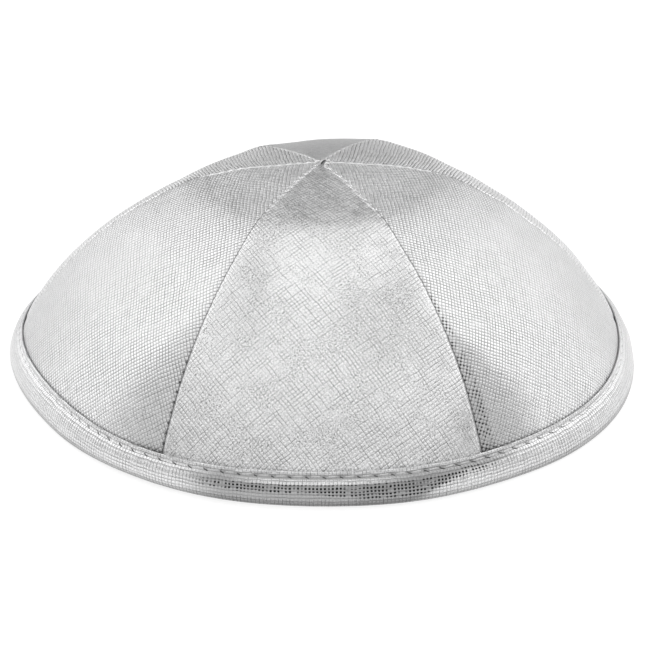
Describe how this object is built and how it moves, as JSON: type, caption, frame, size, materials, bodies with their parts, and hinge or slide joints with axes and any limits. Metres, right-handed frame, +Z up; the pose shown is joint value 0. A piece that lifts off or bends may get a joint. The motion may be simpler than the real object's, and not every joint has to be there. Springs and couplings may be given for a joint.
{
  "type": "kippah skullcap",
  "caption": "Shallow round cloth skullcap of sewn wedge panels, with a folded and topstitched band round its rim; rests open side down or on a head.",
  "frame": {"origin": "middle of the rim, on the surface that the cap rests on", "axes": "+Z up through the crown; the front panel faces -Y; +X is to the right as seen from the front"},
  "size_m": [0.181, 0.179, 0.0568],
  "materials": {
    "crown_cloth": "silver metallic plain weave with a soft sheen",
    "band_cloth": "silver metallic plain weave, folded, with grey topstitching",
    "thread": "matt sewing thread"
  },
  "bodies": {
    "root": {"panel_front": "crown_cloth", "panel_front_right": "crown_cloth", "panel_back_right": "crown_cloth", "panel_back": "crown_cloth", "panel_back_left": "crown_cloth", "panel_front_left": "crown_cloth", "rim_band": "band_cloth"}
  },
  "joints": []
}
